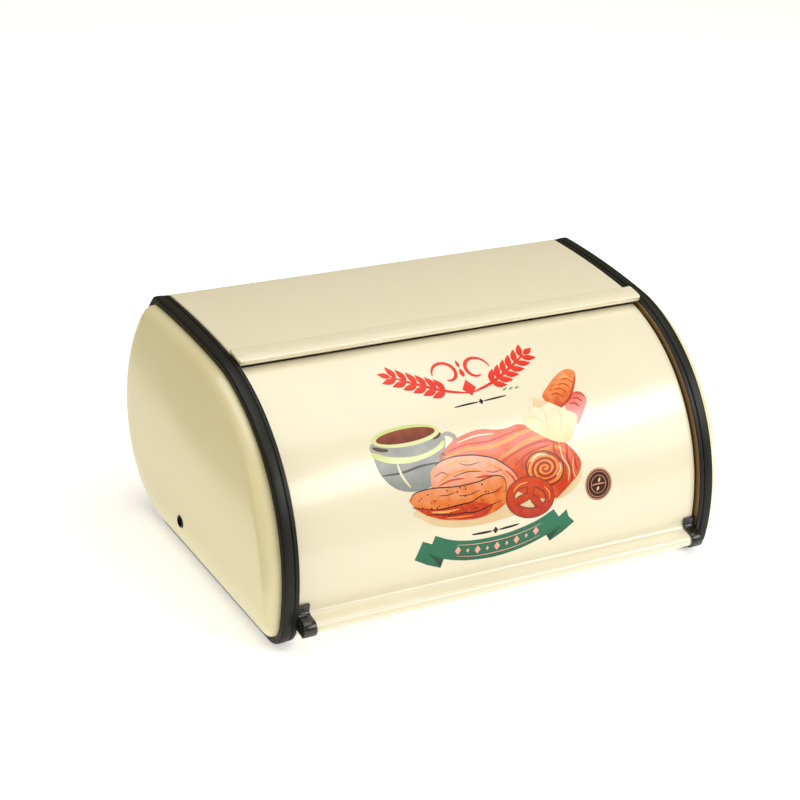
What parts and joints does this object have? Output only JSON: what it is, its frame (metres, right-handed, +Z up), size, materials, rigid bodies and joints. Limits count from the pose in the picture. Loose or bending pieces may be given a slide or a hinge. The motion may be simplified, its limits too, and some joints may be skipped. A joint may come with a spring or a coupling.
{
  "type": "bread box",
  "caption": "Steel bread box with domed ends edged in black hoops and a curved lid that rolls back under the top panel on end pivots.",
  "frame": {"origin": "middle of the box's width and depth, on the surface it stands on", "axes": "+X to the right-hand end, -Y to the lid at the front, +Z up"},
  "size_m": [0.34, 0.2311, 0.1516],
  "materials": {
    "cream_enamel": "gloss",
    "black_plastic": "satin",
    "zinc_steel": "satin"
  },
  "bodies": {
    "box": {"right_trim_hoop": "black_plastic", "left_trim_hoop": "black_plastic", "right_end_panel": "cream_enamel", "left_end_panel": "cream_enamel", "top_back_panel": "cream_enamel", "floor_panel": "cream_enamel", "seam_rivet_1": "zinc_steel", "seam_rivet_2": "zinc_steel", "seam_rivet_3": "zinc_steel", "seam_rivet_4": "zinc_steel", "right_pivot_bush": "black_plastic", "left_pivot_bush": "black_plastic"},
    "roll_lid": {"lid": "cream_enamel", "right_lid_arm": "zinc_steel", "left_lid_arm": "zinc_steel", "right_lid_clip": "black_plastic", "left_lid_clip": "black_plastic", "right_pivot_washer": "zinc_steel", "left_pivot_washer": "zinc_steel", "right_pivot_pin": "zinc_steel", "left_pivot_pin": "zinc_steel"}
  },
  "joints": [
    {"name": "lid_roll", "type": "hinge", "parent": "box", "child": "roll_lid", "pos_m": [0, 0.0155, 0.02681], "axis": [-1, 0, 0], "range_deg": [0, 61]}
  ]
}
